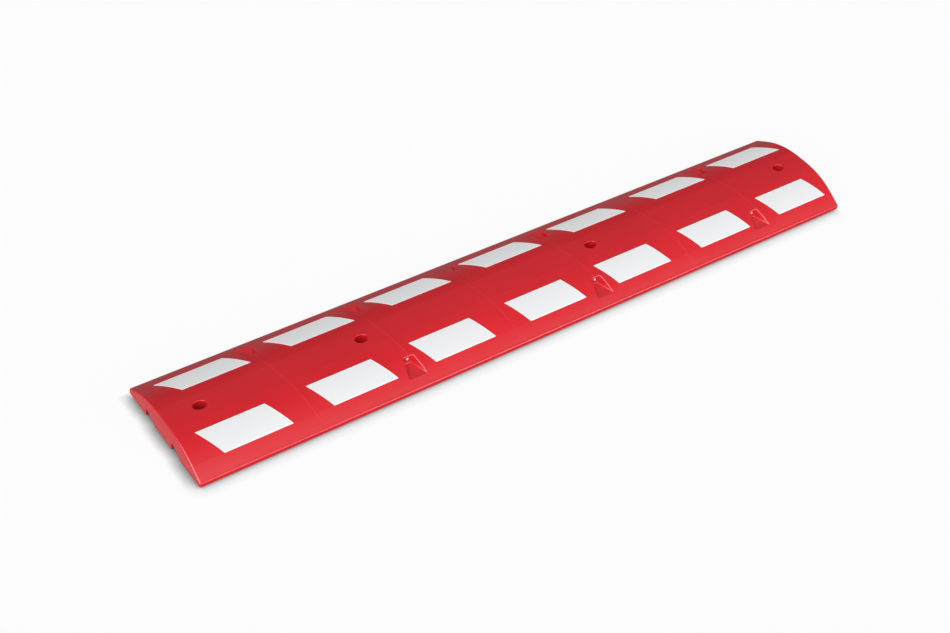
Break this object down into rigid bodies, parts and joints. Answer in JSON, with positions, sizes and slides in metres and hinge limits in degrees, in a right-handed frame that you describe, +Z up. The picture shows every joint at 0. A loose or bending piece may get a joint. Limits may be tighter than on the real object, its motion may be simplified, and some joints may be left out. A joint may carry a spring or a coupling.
{
  "type": "rubber speed bump",
  "caption": "Long, low rubber speed bump with a rounded top, cable channels underneath, counterbored bolt holes, cat's-eye pockets and slanted reflective patches along its slopes.",
  "frame": {"origin": "on the road surface, under the middle of the bump", "axes": "+X along the bump, +Y across it, the way traffic goes, from the near ramp to the far ramp; +Z up"},
  "size_m": [1.829, 0.305, 0.057],
  "materials": {
    "rubber": "moulded red rubber, dull satin",
    "reflective_film": "white reflective film, fine bead grain",
    "bead": "milky white reflector bead, glossy"
  },
  "bodies": {
    "root": {"bump_body": "rubber", "reflective_patch_near_1": "reflective_film", "reflective_patch_near_2": "reflective_film", "reflective_patch_near_3": "reflective_film", "reflective_patch_near_4": "reflective_film", "reflective_patch_near_5": "reflective_film", "reflective_patch_near_6": "reflective_film", "reflective_patch_near_7": "reflective_film", "reflective_patch_far_1": "reflective_film", "reflective_patch_far_2": "reflective_film", "reflective_patch_far_3": "reflective_film", "reflective_patch_far_4": "reflective_film", "reflective_patch_far_5": "reflective_film", "reflective_patch_far_6": "reflective_film", "reflective_patch_far_7": "reflective_film", "cats_eye_near_1": "bead", "cats_eye_near_2": "bead", "cats_eye_near_3": "bead", "cats_eye_far_1": "bead", "cats_eye_far_2": "bead", "cats_eye_far_3": "bead", "cats_eye_far_4": "bead"}
  },
  "joints": []
}
